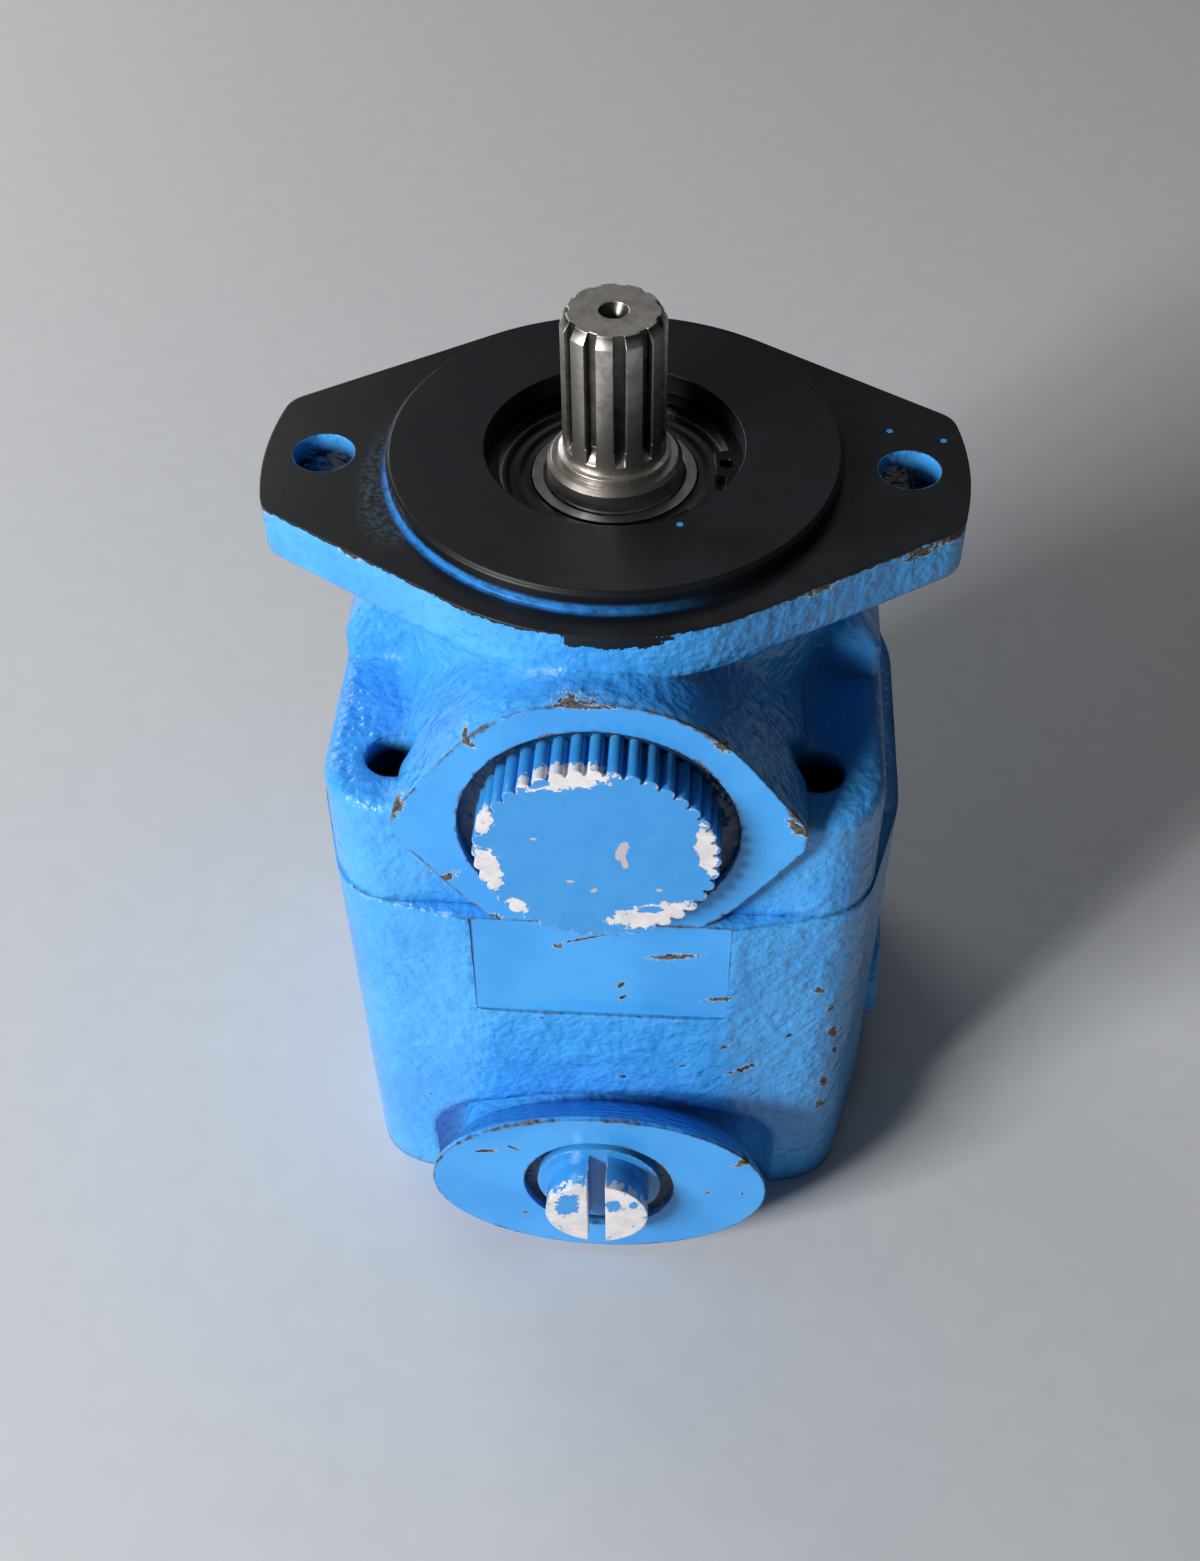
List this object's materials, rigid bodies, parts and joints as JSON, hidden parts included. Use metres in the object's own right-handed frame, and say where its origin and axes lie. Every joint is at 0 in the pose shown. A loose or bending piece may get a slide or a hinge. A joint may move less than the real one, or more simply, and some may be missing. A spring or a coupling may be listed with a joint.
{
  "type": "hydraulic vane pump",
  "caption": "Hydraulic vane pump with a two-bolt oval flange, splined drive shaft, square cast body and side-facing inlet and outlet ports closed with shipping plugs.",
  "frame": {"origin": "centre of the mounting flange face, on the shaft axis", "axes": "+Z along the shaft to its splined end, +X along the line of the two flange bolts, -Y the side the ports face"},
  "size_m": [0.128, 0.1328, 0.1888],
  "materials": {
    "blue_paint": "gloss enamel sprayed over a rough casting, chipped at the milled edges",
    "shaft_steel": "ground and hobbed, slightly stained",
    "hardened_steel": "ground",
    "bearing_steel": "ground bright",
    "polished_steel": "polished",
    "cage_steel": "pressed sheet",
    "black_steel": "phosphated and oiled",
    "dark_steel": "black oxide",
    "spring_steel": "drawn wire",
    "grey_iron": "turned and lapped",
    "bronze": "turned",
    "black_rubber": "moulded",
    "brown_rubber": "moulded",
    "white_plastic": "moulded",
    "painted_plastic": "white moulding under flaking blue paint"
  },
  "bodies": {
    "housing": {"body_casting": "blue_paint", "cover_casting": "blue_paint", "cover_seal": "black_rubber", "cover_screws": "dark_steel", "bearing_outer_race": "bearing_steel", "bearing_outer_shield": "black_rubber", "bearing_inner_shield": "black_rubber", "bearing_snap_ring": "black_steel", "shaft_seal": "brown_rubber", "shaft_seal_spring": "spring_steel", "shaft_bush": "bronze", "cam_ring": "hardened_steel", "pressure_plate": "grey_iron", "pressure_plate_seal": "black_rubber", "pressure_plate_backup_ring": "white_plastic", "pressure_plate_spring": "spring_steel", "dowel_pins": "bearing_steel"},
    "shaft": {"drive_shaft": "shaft_steel", "shaft_snap_ring": "black_steel", "bearing_inner_race": "bearing_steel", "rotor": "hardened_steel"},
    "bearing_cage": {"bearing_cage": "cage_steel", "bearing_balls": "polished_steel"},
    "inlet_plug": {"inlet_plug": "painted_plastic"},
    "outlet_plug": {"outlet_plug": "painted_plastic"},
    "vane_01": {"vane_01": "hardened_steel"},
    "vane_02": {"vane_02": "hardened_steel"},
    "vane_03": {"vane_03": "hardened_steel"},
    "vane_04": {"vane_04": "hardened_steel"},
    "vane_05": {"vane_05": "hardened_steel"},
    "vane_06": {"vane_06": "hardened_steel"},
    "vane_07": {"vane_07": "hardened_steel"},
    "vane_08": {"vane_08": "hardened_steel"},
    "vane_09": {"vane_09": "hardened_steel"},
    "vane_10": {"vane_10": "hardened_steel"},
    "vane_11": {"vane_11": "hardened_steel"},
    "vane_12": {"vane_12": "hardened_steel"}
  },
  "joints": [
    {"name": "shaft_spin", "type": "hinge", "parent": "housing", "child": "shaft", "pos_m": [0, 0, 0], "axis": [0, 0, 1], "continuous": true},
    {"name": "bearing_cage_spin", "type": "hinge", "parent": "housing", "child": "bearing_cage", "pos_m": [0, 0, 0], "axis": [0, 0, 1], "continuous": true},
    {"name": "inlet_plug_pull", "type": "slide", "parent": "housing", "child": "inlet_plug", "axis": [0, -1, 0], "range_m": [0, 0.025]},
    {"name": "outlet_plug_pull", "type": "slide", "parent": "housing", "child": "outlet_plug", "axis": [0, -1, 0], "range_m": [0, 0.02]},
    {"name": "vane_01_slide", "type": "slide", "parent": "shaft", "child": "vane_01", "axis": [0.9659, 0.2588, 0], "range_m": [0, 0.004]},
    {"name": "vane_02_slide", "type": "slide", "parent": "shaft", "child": "vane_02", "axis": [0.7071, 0.7071, 0], "range_m": [0, 0.00242]},
    {"name": "vane_03_slide", "type": "slide", "parent": "shaft", "child": "vane_03", "axis": [0.2588, 0.9659, 0], "range_m": [0, 0.00086]},
    {"name": "vane_04_slide", "type": "slide", "parent": "shaft", "child": "vane_04", "axis": [-0.2588, 0.9659, 0], "range_m": [0, 0.00086]},
    {"name": "vane_05_slide", "type": "slide", "parent": "shaft", "child": "vane_05", "axis": [-0.7071, 0.7071, 0], "range_m": [0, 0.00242]},
    {"name": "vane_06_slide", "type": "slide", "parent": "shaft", "child": "vane_06", "axis": [-0.9659, 0.2588, 0], "range_m": [0, 0.004]},
    {"name": "vane_07_slide", "type": "slide", "parent": "shaft", "child": "vane_07", "axis": [-0.9659, -0.2588, 0], "range_m": [0, 0.004]},
    {"name": "vane_08_slide", "type": "slide", "parent": "shaft", "child": "vane_08", "axis": [-0.7071, -0.7071, 0], "range_m": [0, 0.00242]},
    {"name": "vane_09_slide", "type": "slide", "parent": "shaft", "child": "vane_09", "axis": [-0.2588, -0.9659, 0], "range_m": [0, 0.00086]},
    {"name": "vane_10_slide", "type": "slide", "parent": "shaft", "child": "vane_10", "axis": [0.2588, -0.9659, 0], "range_m": [0, 0.00086]},
    {"name": "vane_11_slide", "type": "slide", "parent": "shaft", "child": "vane_11", "axis": [0.7071, -0.7071, 0], "range_m": [0, 0.00242]},
    {"name": "vane_12_slide", "type": "slide", "parent": "shaft", "child": "vane_12", "axis": [0.9659, -0.2588, 0], "range_m": [0, 0.004]}
  ],
  "couplings": [
    {"joint": "bearing_cage_spin", "follows": "shaft_spin", "ratio": 0.3927}
  ]
}
